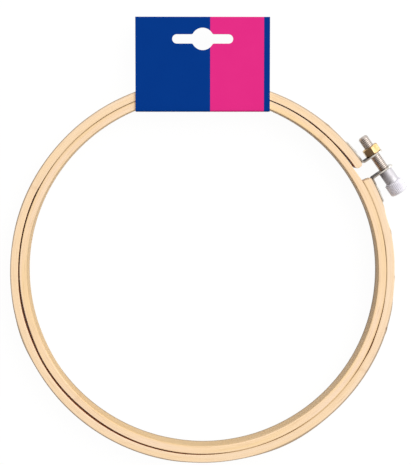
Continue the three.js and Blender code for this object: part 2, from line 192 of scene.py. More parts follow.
def sanded_bamboo(name, edge_tones, face_tones, section, bearing, seed, lap=None):
    """Bamboo strip, sanded and left bare. Long straight fibres give it fine streaks along the bend, dark
    flecks where a bundle of vessels comes up, and a faint band at each knot of the cane. Shade is painted
    on its arrises, at the foot of its wide faces and inside the joint between the two strips."""
    material, tree = new_material(name)
    inner, outer = section
    place = add_node(tree, "Attribute", attribute_name="strip").outputs["Vector"]
    along, depth, height = add_node(tree, "SeparateXYZ", {0: place}).outputs
    glue_line = []
    if lap:
        # Past the slanting line of glue lies the strip's other end, with fibres of its own.
        length, whole_length = lap
        slant = {0: along, 1: (outer - inner) / length, 2: inner}
        slant = add_node(tree, "Math", slant, operation="MULTIPLY_ADD")
        past = add_node(tree, "Math", {0: depth, 1: slant}, operation="GREATER_THAN")
        lapped = add_node(tree, "Math", {0: along, 1: length}, operation="LESS_THAN")
        other_end = add_node(tree, "Math", {0: past, 1: lapped}, operation="MULTIPLY")
        off = add_node(tree, "Math", {0: depth, 1: slant}, operation="SUBTRACT")
        off = add_node(tree, "Math", {0: off}, operation="ABSOLUTE")
        near = add_node(tree, "MapRange", {"Value": off, "From Min": 0.13, "From Max": 0.04})
        glue_line = [("#9A6A3E", (near, lapped))]
        along = add_node(tree, "Math", {0: other_end, 1: whole_length, 2: along}, operation="MULTIPLY_ADD")
    fibre = add_node(tree, "CombineXYZ", {0: along, 1: depth, 2: height})

    # Fibres are 0.1 to 0.2 mm wide, and drawn 0.45 mm wide so that a streak is wider than a pixel. Bundles
    # of vessels are 0.25 mm wide and about 8 mm long. The cane's own tone wanders over about 50 mm.
    patterns = []
    for location, sizes, detail, rough, distortion in (
        ((seed, seed, 0), (34, 0.45, 0.45), 3.0, 0.6, 0.25),
        ((0, seed, seed), (8, 0.25, 0.25), 1.0, 0.5, 0.0),
        ((seed, 0, seed), (52, 2.6, 4), 2.0, 0.55, 0.0),
    ):
        scale = [1 / size for size in sizes]
        spread = add_node(tree, "Mapping", {"Vector": fibre, "Location": location, "Scale": scale})
        noise = {"Vector": spread, "Scale": 1.0, "Detail": detail, "Roughness": rough}
        patterns.append(add_node(tree, "TexNoise", {**noise, "Distortion": distortion}))
    grain, bundles, tone = patterns
    fleck = add_node(tree, "MapRange", {"Value": bundles, "From Min": 0.62, "From Max": 0.74})
    streak = add_node(tree, "MapRange", {"Value": grain, "From Min": 0.42, "From Max": 0.72, "To Max": 0.3})

    # The wide faces follow the cane's wall and are more golden than the cut edges.
    half = (outer - inner) / 2
    out = add_node(tree, "Math", {0: depth, 1: inner + half}, operation="SUBTRACT")
    out = add_node(tree, "Math", {0: out}, operation="ABSOLUTE")
    wide = add_node(tree, "MapRange", {"Value": out, "From Min": half - 0.28, "From Max": half - 0.02})
    edge = add_node(tree, "ValToRGB", {"Fac": tone}, stops=tuple(zip((0.3, 0.5, 0.7), edge_tones)))
    face = add_node(tree, "ValToRGB", {"Fac": tone}, stops=tuple(zip((0.3, 0.7), face_tones)))
    colour = add_node(tree, "Mix", {0: wide, 6: edge, 7: face}, data_type="RGBA").outputs[2]

    # A knot of the cane every 236 mm: a band 2 mm wide that wavers with the fibres.
    knot_spacing = 236.0
    waver = add_node(tree, "Math", {0: grain, 1: 3.0, 2: seed * 9.0}, operation="MULTIPLY_ADD")
    from_knot = add_node(tree, "Math", {0: along, 1: waver}, operation="ADD")
    from_knot = add_node(tree, "Math", {0: from_knot, 1: knot_spacing / 2}, operation="PINGPONG")
    knot = add_node(tree, "MapRange", {"Value": from_knot, "From Min": 1.3, "From Max": 0.3, "To Max": 0.14})

    bears, arris_shade, foot_shade, nicked = (
        add_node(tree, "Attribute", attribute_name=mark).outputs["Fac"]
        for mark in ("bears", "arris_shade", "foot_shade", "nick")
    )
    # Painted shade: the faces in the joint are browned below their arrises, but not where they bear on each
    # other.
    half_height = (strip_top - strip_bottom) / 2
    up = add_node(tree, "Math", {0: height, 1: strip_bottom + half_height}, operation="SUBTRACT")
    up = add_node(tree, "Math", {0: up}, operation="ABSOLUTE")
    beside = add_node(tree, "Math", {0: depth, 1: bearing}, operation="SUBTRACT")
    beside = add_node(tree, "Math", {0: beside}, operation="ABSOLUTE")
    in_joint = add_node(tree, "MapRange", {"Value": beside, "From Min": 0.6, "From Max": 0.4})
    below = {"Value": up, "From Min": half_height - 0.22, "From Max": half_height - 0.42, "To Max": 0.9}
    below = add_node(tree, "MapRange", below)
    uneven = add_node(tree, "MapRange", {"Value": grain, "From Min": 0.35, "From Max": 0.65, "To Min": 0.85})
    joint_shade_share = add_node(tree, "MapRange", {"Value": bears, "To Min": 1, "To Max": 0.15})

    # Painted shade: the other arrises, 0.3 mm wide, are greyed, and the foot of the wide faces is greyed as
    # a contact shadow, up to 3.4 mm high where it is strongest.
    away = add_node(tree, "MapRange", {"Value": beside, "From Min": 0.6, "From Max": 0.9, "To Max": 0.62})
    corner = half + half_height
    arris = add_node(tree, "Math", {0: out, 1: up}, operation="ADD")
    arris = {"Value": arris, "From Min": corner - 0.52, "From Max": corner - 0.24}
    arris = add_node(tree, "MapRange", arris)
    foot = add_node(tree, "Math", {0: foot_shade, 1: 3.4, 2: strip_bottom}, operation="MULTIPLY_ADD")
    foot = add_node(tree, "Math", {0: foot, 1: height}, operation="SUBTRACT")
    foot = add_node(tree, "MapRange", {"Value": foot, "From Min": 0, "From Max": 1.6, "To Max": 0.66})

    # Small dark nicks at the outer arris, where a knot of the cane was planed off.
    outward = {"Value": depth, "From Min": outer - 0.7, "From Max": outer - 0.3, "To Max": 0.75}
    outward = add_node(tree, "MapRange", outward)
    by_arris = {"Value": up, "From Min": half_height - 3.0, "From Max": half_height - 1.0, "To Min": 0.2}
    by_arris = add_node(tree, "MapRange", by_arris)

    # Each tone is laid over those before it, by the product of its shares.
    layers = [("#E9BE86", (streak,)), ("#B98450", (fleck, 0.3)), ("#C08B55", (knot,)), *glue_line]
    # Painted shade: the brown in the open joint, the grey on the arrises and the grey-brown at the foot of
    # the wide faces. The dark nicks are the cane's own.
    layers += [("#C98240", (in_joint, below, uneven, joint_shade_share)), ("#8A7A6A", (arris, away, arris_shade))]
    layers += [("#7C6C60", (foot,)), ("#6E5138", (outward, nicked, by_arris))]
    for laid, (share, *others) in layers:
        for other in others:
            share = add_node(tree, "Math", {0: share, 1: other}, operation="MULTIPLY")
        over = add_node(tree, "Mix", {0: share, 6: colour, 7: linear(laid)}, data_type="RGBA")
        colour = over.outputs[2]
    roughness = {"Value": grain, "From Min": 0.3, "From Max": 0.7, "To Min": 0.62, "To Max": 0.5}
    roughness = add_node(tree, "MapRange", roughness)
    relief = add_node(tree, "Math", {0: fleck, 1: -0.5, 2: grain}, operation="MULTIPLY_ADD")
    bump = add_node(tree, "Bump", {"Strength": 0.4, "Distance": 0.00005, "Height": relief})
    surface = {"Base Color": colour, "Roughness": roughness, "IOR": 1.5, "Normal": bump}
    shader = add_node(tree, "BsdfPrincipled", surface)
    add_node(tree, "OutputMaterial", {"Surface": shader})
    return material


ring_length = 2 * pi * (inner_ring_bore + inner_ring_face) / 2
# A bent strip is never quite round or of one thickness. It still turns freely in the outer ring and the
# card: its face stands out by 0.1 mm at most, and its bore in by 0.14 mm.
inner_face_lie = (
    (0, 0), (14, 0.03), (26, 0.06), (36, -0.4), (48, -0.2), (60, 0.03), (120, 0.1), (142, 0.1), (160, 0.05),
    (178, -0.06), (198, -0.45), (210, -0.15), (231, -0.46), (252, -0.12), (270, 0), (284, 0.1), (334, 0.1),
    (342, 0), (350, 0.1),
)
inner_bore_lie = (
    (0, -0.1), (32, -0.14), (60, -0.1), (80, 0), (170, 0.05), (190, -0.08), (200, -0.14), (215, 0),
    (240, -0.12), (258, -0.14), (272, 0), (290, 0.05), (330, 0.1),
)
# How much shade is painted on the inner strip's arrises, round the hoop.
arris_shade_places = ((20, 0), (60, 0.8), (165, 1), (190, 0))
# How high the painted contact shadow climbs the foot of the inner strip's wide faces, as a share of 3.4 mm.
foot_shade_places = ((0, 1), (50, 0.9), (70, 0.4), (150, 0.1), (212, 0.15), (218, 0.7), (280, 0.6), (320, 0.6))
# Where the two strips bear on each other their arrises are crisp, with no painted shade in the joint.
bearing_places = (
    (0, 0.9), (6, 0.5), (12, 0.4), (17, 1), (29, 1), (35, 0), (60, 0), (114, 0.3), (126, 0.8), (132, 1),
    (138, 0.8), (148, 0), (272, 0), (282, 0.7), (290, 0.3), (300, 0.3), (308, 0.9), (318, 1), (326, 0.3),
    (334, 0), (348, 0.4),
)
crisper = 0.75  # the share of a joint's arris that bearing takes away
inner_steps = 480
inner_stations, arris_shade, bears, foot_shade = [], [], [], []
for k in range(inner_steps):
    degrees = scarf_start + 360 * k / inner_steps
    bore = inner_ring_bore + round_hoop(degrees, inner_bore_lie)
    face = inner_ring_face + round_hoop(degrees, inner_face_lie)
    bears.append(round_hoop(degrees, bearing_places))
    section = strip_section(bore, face, free_ease, joint_ease * (1 - crisper * bears[-1]))
    inner_stations.append((radians(degrees), section, ring_length * k / inner_steps))
    arris_shade.append(round_hoop(degrees, arris_shade_places))
    foot_shade.append(round_hoop(degrees, foot_shade_places))
marks = {"arris_shade": arris_shade, "bears": bears, "foot_shade": foot_shade}
inner_ring = add_piece(
    "bent_inner_ring",
    sweep_strip("bent_inner_ring", inner_stations, closed_length=ring_length, **marks),
    sanded_bamboo(
        "sanded bamboo, inner strip",
        edge_tones=("#FFE3C6", "#FFE0B8", "#FFDFAA"),
        face_tones=("#E6C796", "#DCB884"),
        section=(inner_ring_bore, inner_ring_face),
        bearing=inner_ring_face,
        seed=3.7,
        lap=(scarf_length, ring_length),
    ),
)
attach(inner_ring, "inner_ring")
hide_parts("inner_ring")

# Outer ring
# A second strip of 3.5 x 9 mm, bent to a little more than the inner ring and left open at the clamp. Its end
# at the bush is rounded in plan, and the springy strip opens as one piece when the screw is loosened.
clamp_angle = radians(34.7)
outer_ring_bore = 75.3
outer_ring_face = 78.78
outer_ring_middle = (outer_ring_bore + outer_ring_face) / 2
nut_end_place = 0.8  # of the strip's two ends, along the screw
screw_end_place = 6.46
nut_end_rounding = 1.3
screw_end_rounding = 0.15
screw_end_slant = -0.002  # radians for each millimetre out, as the end is sawn a little off square
along_screw = Vector((sin(clamp_angle), -cos(clamp_angle), 0))
off_ring = Vector((cos(clamp_angle), sin(clamp_angle), 0))


def ease_in(value, start, end):
    """From 0 at start to 1 at end, without a corner."""
    share = min(1.0, max(0.0, (value - start) / (end - start)))
    return share * share * (3 - 2 * share)


first_angle = clamp_angle - nut_end_place / outer_ring_middle
last_angle = clamp_angle + 2 * pi - screw_end_place / outer_ring_middle
strip_length = (last_angle - first_angle) * outer_ring_middle
end_cuts = (0, 0.03, 0.1, 0.22, 0.4, 0.65, 1)  # closer together where the rounding is steepest
plain_length = strip_length - nut_end_rounding - screw_end_rounding
plain_cuts = 470
cuts = [share * nut_end_rounding for share in end_cuts]
cuts += [nut_end_rounding + plain_length * k / plain_cuts for k in range(1, plain_cuts)]
cuts += [strip_length - share * screw_end_rounding for share in reversed(end_cuts)]
# How far the springy strip stands off the inner ring's nominal face, round the hoop.
stand_off = (
    (0, 0.12), (9, 0.22), (16, 0.11), (31, 0.11), (36, 0.5), (46, 0.26), (57, 0.55), (90, 0.26), (120, 0.27),
    (138, 0.18), (148, 0.28), (156, 0.64), (176, 0.52), (192, 0.65), (201, 0.52), (213, 0.66), (232, 0.47),
    (243, 0.55), (264, 0.55), (271, 0.43), (282, 0.2), (298, 0.37), (310, 0.12), (320, 0.11), (329, 0.32),
    (336, 0.56), (342, 0.33), (348, 0.34), (354, 0.2),
)
# Its outside is pared unevenly, and most by the end at the screw, where it bulges too.
outside = (
    (0, -0.38), (6, -0.25), (12, -0.2), (17, -0.5), (21, -0.08), (40, 0.02), (50, 0.1), (60, 0.1), (75, 0),
    (140, 0.04), (158, 0.16), (176, 0), (184, 0), (192, 0.12), (200, 0.37), (210, 0.1), (228, 0.2),
    (258, 0.2), (268, 0), (280, 0), (297, 0.5), (312, 0.22), (336, 0.34), (348, 0.15), (354, -0.26),
)
knots = (50.0, 342.3, 358.3, 372.4)  # low swellings, each with a small nick a little further round
knot_swell = 0.16
knot_spread, nick_spread, nick_from_knot = 0.9, 0.28, 0.55  # in degrees
outer_stations, slants, nicks, bears = [], [], [], []
for place in cuts:
    angle = first_angle + place / outer_ring_middle
    degrees = angle * 180 / pi
    inset = 0.0
    for end, rounding in ((place, nut_end_rounding), (strip_length - place, screw_end_rounding)):
        if end < rounding:
            inset = rounding - sqrt(rounding**2 - (rounding - end) ** 2)
    bore = inner_ring_face + round_hoop(degrees, stand_off)
    swell = sum(knot_swell * exp(-(((degrees - at) / knot_spread) ** 2)) for at in knots)
    face = outer_ring_face + round_hoop(degrees, outside) + swell
    bears.append(round_hoop(degrees, bearing_places))
    section = strip_section(bore, face, joint_ease * (1 - crisper * bears[-1]), free_ease, inset)
    outer_stations.append((angle, section, place))
    slants.append(screw_end_slant * ease_in(place, strip_length - 4, strip_length))
    nicks.append(sum(exp(-(((degrees - at - nick_from_knot) / nick_spread) ** 2)) for at in knots))
# The outer strip has painted shade on all its arrises and a low painted contact shadow at its foot.
marks = {"nick": nicks, "arris_shade": [1.0] * len(nicks), "bears": bears, "foot_shade": [0.4] * len(nicks)}
outer_ring = add_piece(
    "bent_outer_ring",
    sweep_strip("bent_outer_ring", outer_stations, slants=slants, **marks),
    sanded_bamboo(
        "sanded bamboo, outer strip",
        edge_tones=("#FEE4C6", "#FEE2BF", "#FEDFB4"),
        face_tones=("#E6C9A0", "#DCBB8F"),
        section=(outer_ring_bore, outer_ring_face),
        bearing=outer_ring_bore,
        seed=8.3,
    ),
)
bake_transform(outer_ring)
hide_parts("outer_ring_nut_side", "outer_ring_screw_side")

# Lugs
# Two strips of 0.6 mm steel plate, bent to a foot that follows the ring and a lug that stands out from it,
# pierced for the screw, deburred and nickel plated.
strip_middle = (strip_bottom + strip_top) / 2
plate = 0.6
plate_half = 4.0
foot_middle_radius = 79.2
foot_length = 10.0
bend_radius = 0.9  # in the middle of the plate
screw_radius = 85.2
lug_tip = 88.6
plate_corner = 1.8
foot_shade_fade = 1.7  # the painted shade near the bend fades that much faster along the foot than up the lug
weld_distance = 0.001 * MM  # joins points that are meant to be one
lug_places = {"nut_side": (-1, 0.2, 5.9), "screw_side": (1, 7.66, 4.7)}  # side, middle of the lug, hole


def at_clamp(x, y, z):
    """The point at x along the screw, y out from the hoop's axis and z up, in metres in the frame."""
    return hoop_foot + (along_screw * x + off_ring * y + Vector((0, 0, z))) * MM


def along_ray(outline, angle):
    """How far a closed outline lies from its origin in the direction of angle."""
    ray_x, ray_y = cos(angle), sin(angle)
    reach = 0.0
    for (ax, ay), (bx, by) in zip(outline, outline[1:] + outline[:1]):
        across = ray_x * (by - ay) - ray_y * (bx - ax)
        if abs(across) > 1e-12:
            share = (ray_y * ax - ray_x * ay) / across
            if -1e-9 <= share <= 1 + 1e-9:
                reach = max(reach, (ax + (bx - ax) * share) * ray_x + (ay + (by - ay) * share) * ray_y)
    return reach


def sheet_round_hole(hole, outline, rings):
    """Quads of sheet between a hole and an outline round the same origin, whose corners stay sharp."""
    rays = []
    for a in sorted(atan2(y, x) for x, y in hole + outline):
        if not rays or a - rays[-1] > 1e-7:
            rays.append(a)
    spokes = [(a, along_ray(hole, a), along_ray(outline, a)) for a in rays]
    points, quads = [], []
    for ring in rings:
        for a, near, far in spokes:
            reach = near + (far - near) * ring
            points.append((reach * cos(a), reach * sin(a)))
    for k in range(len(rings) - 1):
        for i in range(len(rays)):
            j = (i + 1) % len(rays)
            first, second = k * len(rays), (k + 1) * len(rays)
            quads.append((first + i, second + i, second + j, first + j))
    return points, quads


def turn_faces_out(mesh):
    """Turns a mesh's faces to the same side, the outer one where it is closed."""
    work = bmesh.new()
    work.from_mesh(mesh)
    bmesh.ops.recalc_face_normals(work, faces=work.faces)
    work.to_mesh(mesh)
    work.free()


def bent_lug(name, side, lug_x, hole_diameter):
    """The middle surface of a bent plate: the pierced lug, the bend and the foot along the ring."""
    # The bend touches the foot's arc and the lug's plane.
    bend_x = lug_x + side * bend_radius
    bend_y = sqrt((foot_middle_radius + bend_radius) ** 2 - bend_x**2)
    bend_from = atan2(bend_x, bend_y)
    foot_from = bend_from + side * foot_length / foot_middle_radius
    turns = [k * pi / 32 for k in range(64)]
    hole = [(hole_diameter / 2 * cos(a), hole_diameter / 2 * sin(a)) for a in turns]
    root = bend_y - screw_radius
    corner_y = lug_tip - screw_radius - plate_corner
    outline = [(-plate_half, root), (plate_half, root)]
    for corner_x, start in ((plate_half - plate_corner, 0), (plate_corner - plate_half, 90)):
        for turn in range(0, 91, 15):
            a = radians(start + turn)
            outline.append((corner_x + plate_corner * cos(a), corner_y + plate_corner * sin(a)))
    flat, quads = sheet_round_hole(hole, outline, (0, 0.12, 0.5, 0.88, 1))
    points = [at_clamp(lug_x, screw_radius + y, strip_middle + x) for x, y in flat]
    # The root's points, in order across the plate, carry on down the bend and along the foot. Each row has
    # its place, its half width and how far it lies from the bend, for the painted shade near the bend.
    across = sorted((i for i, (x, y) in enumerate(flat) if abs(y - root) < 1e-5), key=lambda i: flat[i][0])
    rows = []
    bend_steps, foot_steps = 8, 16
    for k in range(1, bend_steps + 1):
        a = side * ((pi / 2 - abs(bend_from)) * k / bend_steps - pi / 2)
        rows.append((bend_x + bend_radius * sin(a), bend_y - bend_radius * cos(a), plate_half, 0.0))
    for k in range(1, foot_steps + 1):
        share = k / foot_steps
        a = bend_from + (foot_from - bend_from) * share
        left = foot_length * (1 - share)
        half = plate_half
        if left < plate_corner:
            half -= plate_corner - sqrt(plate_corner**2 - (plate_corner - left) ** 2)
        run = foot_shade_fade * foot_length * share
        rows.append((foot_middle_radius * sin(a), foot_middle_radius * cos(a), half, run))
    above = across
    from_bend = [y - root for _, y in flat]
    for x, y, half, run in rows:
        row = list(range(len(points), len(points) + len(across)))
        points += [at_clamp(x, y, strip_middle + flat[i][0] / plate_half * half) for i in across]
        from_bend += [run] * len(across)
        quads += [(above[i], above[i + 1], row[i + 1], row[i]) for i in range(len(row) - 1)]
        above = row
    mesh = bpy.data.meshes.new(name)
    mesh.from_pydata(points, [], quads)
    mesh.attributes.new("from_bend", "FLOAT", "POINT").data.foreach_set("value", from_bend)
    turn_faces_out(mesh)
    return mesh


def nickel_plate(name, tones, roughness, brushing=(1, 1, 1), bend_shade_tone=None):
    """Nickel plate over pressed or turned steel: a warm, bright grey that mirrors what is round it. The
    metal's fine working marks show through the plate as soft lines, and it is duller in patches. Near a
    bend, shade is painted as a dark brown that mirrors little."""
    material, tree = new_material(name)
    place = add_node(tree, "TexCoord").outputs["Object"]
    # Working marks are 0.02 mm wide, and drawn 0.15 mm wide so that they show. The patches are 3.5 mm wide.
    lines = add_node(tree, "Mapping", {"Vector": place, "Scale": brushing})
    lines = {"Vector": lines, "Scale": 1000 / 0.15, "Detail": 2.0, "Roughness": 0.6}
    lines = add_node(tree, "TexNoise", lines)
    patches = {"Vector": place, "Scale": 1000 / 3.5, "Detail": 3.0, "Roughness": 0.6}
    patches = add_node(tree, "TexNoise", patches)
    dull = {"From Min": 0.35, "From Max": 0.7, "To Min": roughness * 0.85, "To Max": roughness * 1.2}
    dull = add_node(tree, "MapRange", {"Value": patches, **dull})
    bright, warm = (linear(tone) for tone in tones)
    colour = add_node(tree, "Mix", {0: patches, 6: bright, 7: warm}, data_type="RGBA").outputs[2]
    metal = 1.0
    # Painted shade and dark reflection: a dark tone near the bend, fading out from 2.4 to 4.6 mm away.
    if bend_shade_tone:
        run = add_node(tree, "Attribute", attribute_name="from_bend").outputs["Fac"]
        bend_shade = add_node(tree, "MapRange", {"Value": run, "From Min": 4.6, "From Max": 2.4})
        bare = {0: bend_shade, 6: colour, 7: linear(bend_shade_tone)}
        colour = add_node(tree, "Mix", bare, data_type="RGBA").outputs[2]
        # Painted shade: near the bend the plate mirrors little, so the dark brown stays dark.
        dull = add_node(tree, "Mix", {0: bend_shade, 2: dull, 3: 0.6})
        metal = add_node(tree, "MapRange", {"Value": bend_shade, "To Min": 1.0, "To Max": 0.1})
    bump = add_node(tree, "Bump", {"Strength": 0.25, "Distance": 0.00002, "Height": lines})
    surface = {"Base Color": colour, "Metallic": metal, "Roughness": dull, "Normal": bump}
    shader = add_node(tree, "BsdfPrincipled", surface)
    add_node(tree, "OutputMaterial", {"Surface": shader})
    return material


# Both carry painted shade near the bend: dark brown on the faces, grey on the sheared edge.
plated_steel = nickel_plate(
    "nickel-plated steel, pressed",
    ("#C6BFB5", "#D2CDC6"),
    0.24,
    brushing=(1, 1, 0.15),
    bend_shade_tone="#3A2E27",
)
sheared_steel = nickel_plate(
    "nickel-plated steel, sheared edge", ("#D6D2CB", "#E2DFD9"), 0.34, bend_shade_tone="#A0968C"
)
for body, (side, lug_x, hole_diameter) in lug_places.items():
    name = body + "_bent_lug"
    lug = add_piece(name, bent_lug(name, side, lug_x, hole_diameter), plated_steel, sheared_steel)
    body_of_plate = lug.modifiers.new("plate", "SOLIDIFY")
    body_of_plate.thickness = plate * MM
    body_of_plate.offset = 0.0
    body_of_plate.use_even_offset = True
    body_of_plate.material_offset_rim = 1
    deburred = lug.modifiers.new("deburred", "BEVEL")
    deburred.width = 0.12 * MM
    deburred.segments = 3
    deburred.limit_method = "ANGLE"
    deburred.angle_limit = radians(50)
    lug.modifiers.new("welded", "WELD").merge_threshold = weld_distance
    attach(lug, body)
    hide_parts(body + "_bracket")

# Rivets
# Two steel rivets of 1.6 mm hold each lug. Their heads are pressed flat and low on the plate, and their
# tails are spread just under the strip's inner face, out of the inner ring's way.
rivet_rise = 2.1  # of the upper one over the strip's middle, and of the lower one under it
# Radius, and place out from the hoop's axis.
rivet_outline = [(0, 75.64), (1.25, 75.64), (1.38, 75.7), (1.4, 75.8), (0.8, 76.1), (0.8, 79.5)]
rivet_outline += [(1.3, 79.55), (1.4, 79.6), (1.39, 79.62), (1.3, 79.65), (1.1, 79.68), (0.75, 79.7)]
rivet_outline += [(0.35, 79.71), (0, 79.71)]


def turned_mesh(name, rows, steps, point, ring=False):
    """A piece turned round an axis, from the rows of its outline and the point for a row and an angle. It
    starts and ends on the axis, or it is a ring, whose last row joins its first."""
    rounds = rows if ring else rows[1:-1]
    points = [point(row, k * 2 * pi / steps) for row in rounds for k in range(steps)]
    faces = []
    for k in range(len(rounds) if ring else len(rounds) - 1):
        a, b = k * steps, (k + 1) % len(rounds) * steps
        faces += [(a + i, a + (i + 1) % steps, b + (i + 1) % steps, b + i) for i in range(steps)]
    if not ring:
        first, last, far = len(points), len(points) + 1, len(points) - steps
        points += [point(rows[0], 0), point(rows[-1], 0)]
        for i in range(steps):
            j = (i + 1) % steps
            faces += [(first, j, i), (far + i, far + j, last)]
    mesh = bpy.data.meshes.new(name)
    mesh.from_pydata(points, [], faces)
    turn_faces_out(mesh)
    return mesh


def round_rivet(name, node, height):
    """A rivet that points at the hoop's axis, where the frame has it."""
    low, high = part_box(node)
    middle = (low + high) / 2 - hoop_centre
    out = Vector((middle.x, middle.y, 0)).normalized()
    beside = Vector((-out.y, out.x, 0))

    def on_rivet(row, angle):
        r, place = row
        across = beside * r * cos(angle) + Vector((0, 0, height + r * sin(angle)))
        return hoop_foot + (out * place + across) * MM

    return turned_mesh(name, rivet_outline, 32, on_rivet)


headed_steel = nickel_plate("nickel-plated steel, cold headed", ("#B4ACA2", "#C6C0B8"), 0.3)
for body in lug_places:
    for level, height in (("upper", strip_middle + rivet_rise), ("lower", strip_middle - rivet_rise)):
        name = body + "_round_rivet_" + level
        rivet = add_piece(name, round_rivet(name, body + "_rivet_" + level, height), headed_steel)
        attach(rivet, body)
        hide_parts(body + "_rivet_" + level)

# Threaded bush
# A nut of 6.4 mm hexagon brass bar, turned and chamfered, its spigot riveted over in the lug so that it
# can't turn. The screw's thread runs in it.
bush_end = -3.5
bush_seat = -0.2
lug_front = 0.5
bush_bore = 2.35
bush_spigot = 2.83
bush_flat = 3.2  # half across flats
bush_corner = bush_flat / cos(radians(30)) - 0.06  # the bar's corners have a small radius
# Place, reach, and how steeply the chamfer goes from there to where it meets the hexagon.
bush_rows = [(bush_end + 0.5, bush_bore, 0), (bush_end + 0.02, bush_bore + 0.35, 0)]
bush_rows += [(bush_end, bush_bore + 0.42, 0), (bush_end, 3.0, 0), (bush_end + 0.02, bush_flat - 0.11, 0)]
bush_rows += [(bush_end, bush_flat - 0.14, 0.62), (bush_seat, bush_flat - 0.08, -0.62)]
bush_rows += [(bush_seat - 0.02, bush_flat - 0.05, 0), (bush_seat, 3.1, 0), (bush_seat, bush_spigot, 0)]
bush_rows += [(lug_front - 0.06, bush_spigot, 0), (lug_front + 0.02, 2.8, 0), (lug_front + 0.06, 2.68, 0)]
bush_rows += [(lug_front + 0.02, 2.5, 0), (lug_front - 0.12, bush_bore, 0)]


def on_bush(row, angle):
    """A point of the bush. A row with a chamfer reaches to the hexagon, which has a corner pointing up."""
    x, reach, chamfer = row
    off_flat = angle % radians(60) - radians(30)
    far = min(bush_flat / cos(off_flat), bush_corner) if chamfer else reach
    x += chamfer * (far - reach)
    return at_clamp(x, screw_radius + far * sin(angle), strip_middle + far * cos(angle))


def turned_brass():
    """Brass turned from bar and left bare: a strong yellow that mirrors its surroundings, with fine rings
    from the tool and a browner film in patches."""
    material, tree = new_material("brass, turned from bar")
    place = add_node(tree, "TexCoord").outputs["Object"]
    film = {"Vector": place, "Scale": 1000 / 1.6, "Detail": 3.0, "Roughness": 0.6}
    film = add_node(tree, "TexNoise", film)
    tones = ((0.3, "#DCC79C"), (0.55, "#D2AF7A"), (0.8, "#AE7A46"))
    colour = add_node(tree, "ValToRGB", {"Fac": film}, stops=tones)
    dull = {"Value": film, "From Min": 0.3, "From Max": 0.75, "To Min": 0.24, "To Max": 0.4}
    dull = add_node(tree, "MapRange", dull)
    # Tool rings are 0.05 mm apart, and drawn 0.2 mm apart so that they show.
    rings = add_node(tree, "TexNoise", {"Vector": place, "Scale": 1000 / 0.2, "Detail": 1.0})
    bump = add_node(tree, "Bump", {"Strength": 0.2, "Distance": 0.00002, "Height": rings})
    surface = {"Base Color": colour, "Metallic": 1.0, "Roughness": dull, "Normal": bump}
    shader = add_node(tree, "BsdfPrincipled", surface)
    add_node(tree, "OutputMaterial", {"Surface": shader})
    return material


bush_mesh = turned_mesh("hexagon_bush", bush_rows, 288, on_bush, ring=True)
bush = add_piece("hexagon_bush", bush_mesh, turned_brass(), crisp=20.0)
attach(bush, "nut_side")
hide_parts("threaded_bush")

# Thumb screw's stud
# A steel stud with a rolled M4 thread of 0.7 mm pitch, its ends chamfered. It is nickel plated and pressed
# into the head.
stud_tip = -8.47
stud_end = 16.46
stud_chamfer = 0.55
thread_pitch = 0.7
thread_crest = 2.07
thread_root = 1.83
thread_steps = 48
# Place in the pitch, and radius.
thread_form = [(0.0, thread_root), (0.06, thread_root), (0.3, thread_crest), (0.76, thread_crest)]
thread_form += [(0.96, thread_root)]


def round_screw(x, r, angle):
    """The point at x along the screw and r out from its axis, turned by angle."""
    return at_clamp(x, screw_radius + r * cos(angle), strip_middle + r * sin(angle))


points, faces = [], []
for turn in range(-1, ceil((stud_end - stud_tip) / thread_pitch) + 2):
    for share, reach in thread_form:
        for k in range(thread_steps):
            x = stud_tip + (turn + share + k / thread_steps) * thread_pitch
            x = min(max(x, stud_tip), stud_end)
            r = min(reach, thread_crest - stud_chamfer + min(x - stud_tip, stud_end - x))
            points.append(round_screw(x, r, k * 2 * pi / thread_steps))
for row in range(len(points) // thread_steps - 1):
    for k in range(thread_steps):
        a = row * thread_steps + k
        # After a turn the rows have climbed by one form, so the last column joins the row that follows.
        b = a + 1 if k + 1 < thread_steps else (row + len(thread_form)) * thread_steps
        if b + thread_steps < len(points):
            faces.append((a, b, b + thread_steps, a + thread_steps))
stud_mesh = bpy.data.meshes.new("threaded_stud")
stud_mesh.from_pydata(points, [], faces)
work = bmesh.new()
work.from_mesh(stud_mesh)
bmesh.ops.remove_doubles(work, verts=work.verts, dist=weld_distance)
bmesh.ops.dissolve_degenerate(work, edges=work.edges, dist=weld_distance)
bmesh.ops.delete(work, geom=[v for v in work.verts if not v.link_faces], context="VERTS")
bmesh.ops.holes_fill(work, edges=[e for e in work.edges if e.is_boundary], sides=0)
work.to_mesh(stud_mesh)
work.free()
turn_faces_out(stud_mesh)
rolled_steel = nickel_plate("nickel-plated steel, rolled thread", ("#C3B9B2", "#CEC6C1"), 0.4)
stud = add_piece("threaded_stud", stud_mesh, rolled_steel, crisp=50.0)
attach(stud, "thumb_screw")
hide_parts("thumb_screw_stud")

# Thumb screw's head
# Turned from bar: a plain neck that bears on the lug, then a knob with a straight knurl of 32 ridges.
# The end is rounded, and the whole is nickel plated, bright on the neck and matt on the knurl.
neck_seat = 8.06
neck_end = 13.76
knob_end = 19.15
neck_reach = 2.82
knob_reach = 3.75
knob_rounding = 1.0
knurl_ridges = 32
knurl_depth = 0.11
